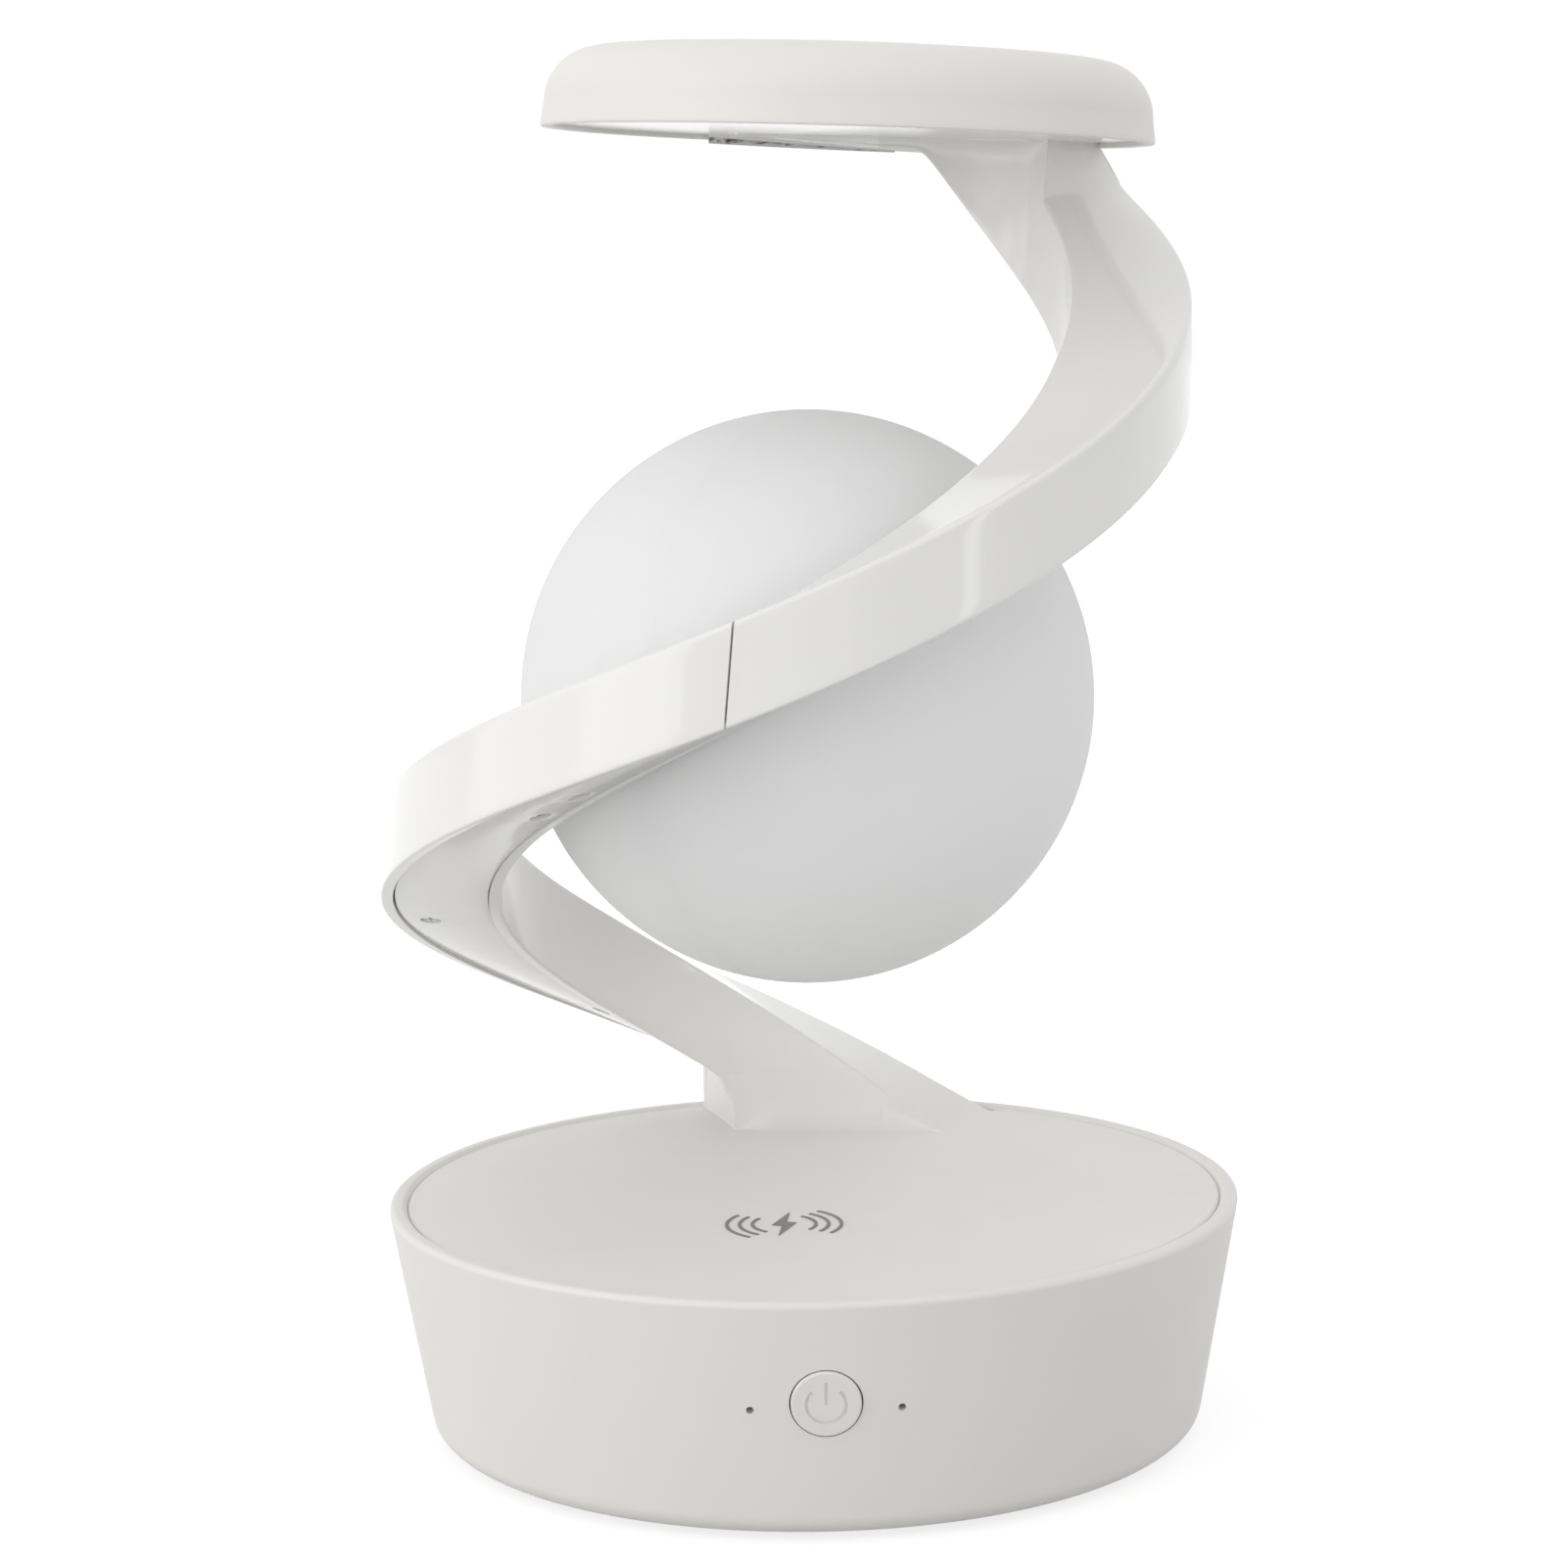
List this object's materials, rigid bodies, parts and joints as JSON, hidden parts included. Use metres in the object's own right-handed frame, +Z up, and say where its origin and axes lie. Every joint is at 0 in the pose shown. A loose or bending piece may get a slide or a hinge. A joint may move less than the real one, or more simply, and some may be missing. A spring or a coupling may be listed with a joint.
{
  "type": "spiral table lamp",
  "caption": "White table lamp: a round charging base with a power button, a spiral arm that climbs once round a globe lamp, and a domed head lamp on top.",
  "frame": {"origin": "middle of the base on the table", "axes": "+Z up, -Y towards the power button"},
  "size_m": [0.15, 0.15, 0.2422],
  "materials": {
    "base_white": "satin, slightly warm white",
    "arm_white": "glossy white",
    "opal": "satin translucent white",
    "inner_white": "plain moulded",
    "mark_grey": "printed",
    "foot_rubber": "matte",
    "screw_steel": "plain",
    "wire_sleeve": "matte",
    "board": "coated circuit board",
    "light_chip": "plain",
    "copper": "copper",
    "dark_plastic": "plain"
  },
  "bodies": {
    "lamp": {"base_shell": "base_white", "bottom_cover": "base_white", "foot_ring": "foot_rubber", "case_screws": "screw_steel", "lower_arm": "arm_white", "charge_mark": "mark_grey", "lower_arm_cover": "arm_white", "joint_tongue": "inner_white", "upper_arm": "arm_white", "upper_arm_cover": "arm_white", "small_screws": "screw_steel", "arm_harness": "wire_sleeve", "globe_left": "opal", "globe_right": "opal", "globe_neck": "screw_steel", "globe_spacer": "opal", "globe_neck_nuts": "screw_steel", "globe_lamp_holder": "inner_white", "globe_lamp_board": "board", "globe_leds": "light_chip", "head_cap": "base_white", "head_board": "board", "head_leds": "light_chip", "charge_coil": "copper", "coil_shield": "dark_plastic", "coil_tray": "inner_white", "main_board": "board", "usb_socket": "screw_steel", "switch_board": "board", "switch_body": "dark_plastic", "switch_dome": "copper", "indicator_led": "dark_plastic", "microphone": "dark_plastic"},
    "button": {"power_button": "base_white"},
    "plunger": {"switch_plunger": "inner_white"}
  },
  "joints": [
    {"name": "button_press", "type": "slide", "parent": "lamp", "child": "button", "axis": [0, 0.9848, 0.1736], "range_m": [0, 0.0005], "stiffness_N_per_m": 3000},
    {"name": "plunger_press", "type": "slide", "parent": "lamp", "child": "plunger", "axis": [0, 0.9848, 0.1736], "range_m": [0, 0.0005], "deforming": ["switch_dome"]}
  ],
  "couplings": [
    {"joint": "plunger_press", "follows": "button_press", "ratio": 1}
  ]
}
